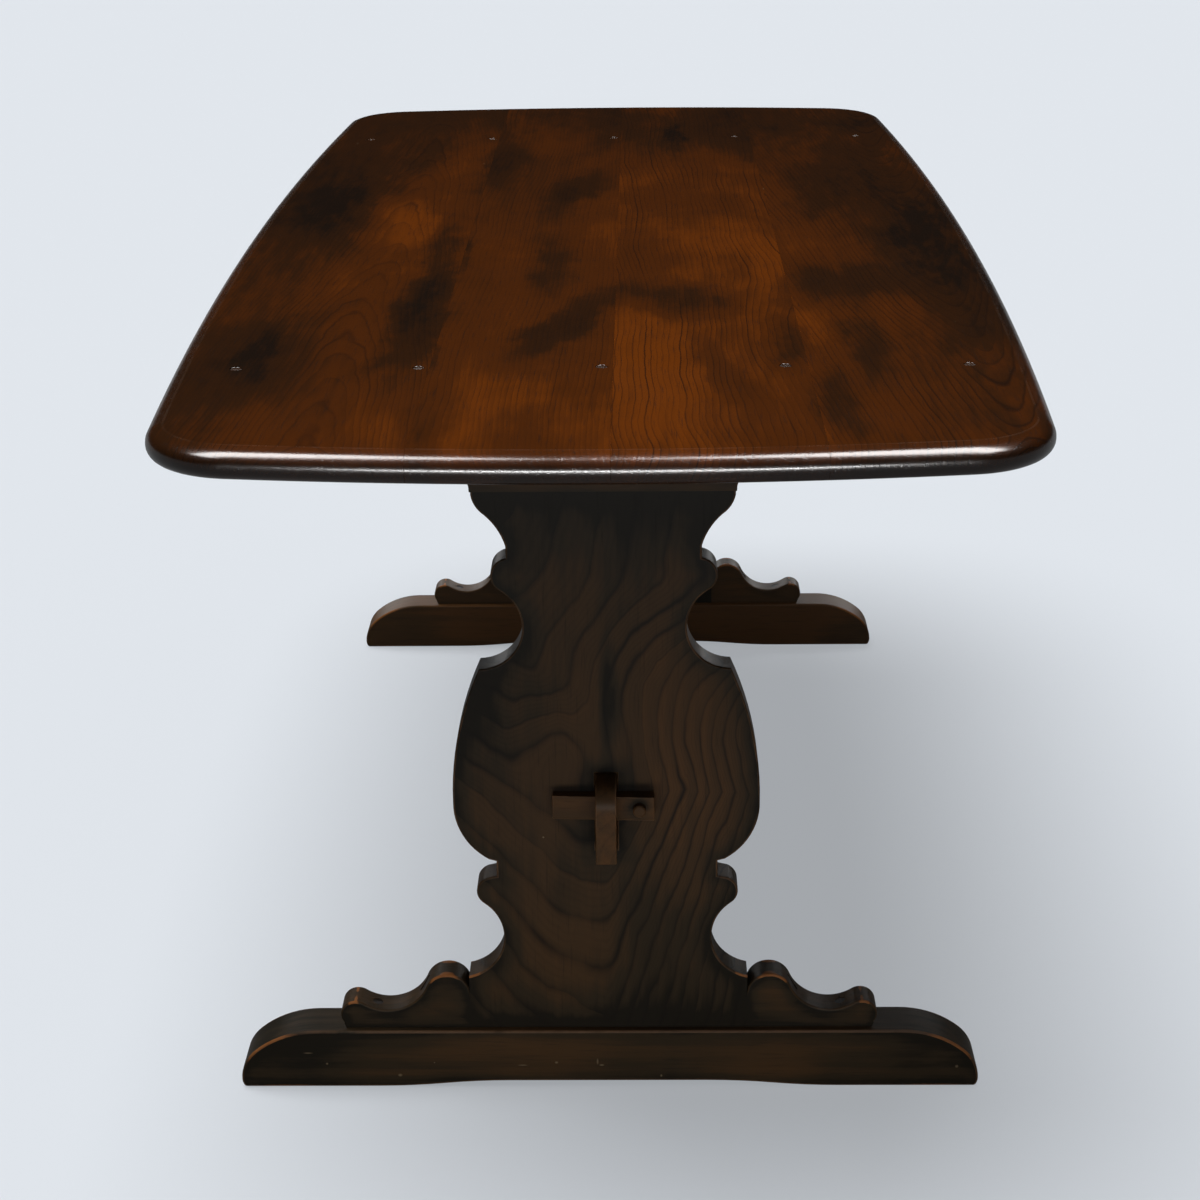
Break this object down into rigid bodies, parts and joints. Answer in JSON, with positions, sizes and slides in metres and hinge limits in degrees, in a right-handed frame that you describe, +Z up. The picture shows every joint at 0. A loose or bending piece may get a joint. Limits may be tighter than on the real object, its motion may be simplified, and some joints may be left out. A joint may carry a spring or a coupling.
{
  "type": "trestle dining table",
  "caption": "Long wooden dining table with a bowed plank top on shaped trestle ends, sled feet, scrolled brackets and a wedged stretcher.",
  "frame": {"origin": "on the floor under the middle of the table", "axes": "+Z up, +Y along the table's length towards the far trestle, +X across it"},
  "size_m": [0.788, 1.66, 0.72],
  "materials": {
    "top_wood": "dark red-brown stain under a glossy lacquer",
    "trestle_wood": "very dark brown stain, satin lacquer worn on the arrises",
    "key_wood": "very dark brown stain, satin lacquer",
    "plug_wood": "dark stain, sunk a little below the surface",
    "screw_steel": "plain steel, hidden"
  },
  "bodies": {
    "table": {"far_bearer": "trestle_wood", "far_bracket_1": "trestle_wood", "far_bracket_2": "trestle_wood", "far_bracket_knee_plugs": "plug_wood", "far_bracket_knee_screws": "screw_steel", "far_bracket_toe_plugs": "plug_wood", "far_bracket_toe_screws": "screw_steel", "far_end_panel": "trestle_wood", "far_foot": "trestle_wood", "far_top_plugs": "plug_wood", "far_top_screws": "screw_steel", "near_bearer": "trestle_wood", "near_bracket_1": "trestle_wood", "near_bracket_2": "trestle_wood", "near_bracket_knee_plugs": "plug_wood", "near_bracket_knee_screws": "screw_steel", "near_bracket_toe_plugs": "plug_wood", "near_bracket_toe_screws": "screw_steel", "near_end_panel": "trestle_wood", "near_foot": "trestle_wood", "near_top_plugs": "plug_wood", "near_top_screws": "screw_steel", "stretcher": "trestle_wood", "top_board_1": "top_wood", "top_board_2": "top_wood", "top_board_3": "top_wood", "top_board_4": "top_wood"},
    "near_wedge": {"near_key": "key_wood", "near_key_peg": "key_wood"},
    "far_wedge": {"far_key": "key_wood", "far_key_peg": "key_wood"}
  },
  "joints": [
    {"name": "near_key_slide", "type": "slide", "parent": "table", "child": "near_wedge", "axis": [1, 0, 0], "range_m": [0, 0.055]},
    {"name": "far_key_slide", "type": "slide", "parent": "table", "child": "far_wedge", "axis": [-1, 0, 0], "range_m": [0, 0.055]}
  ]
}
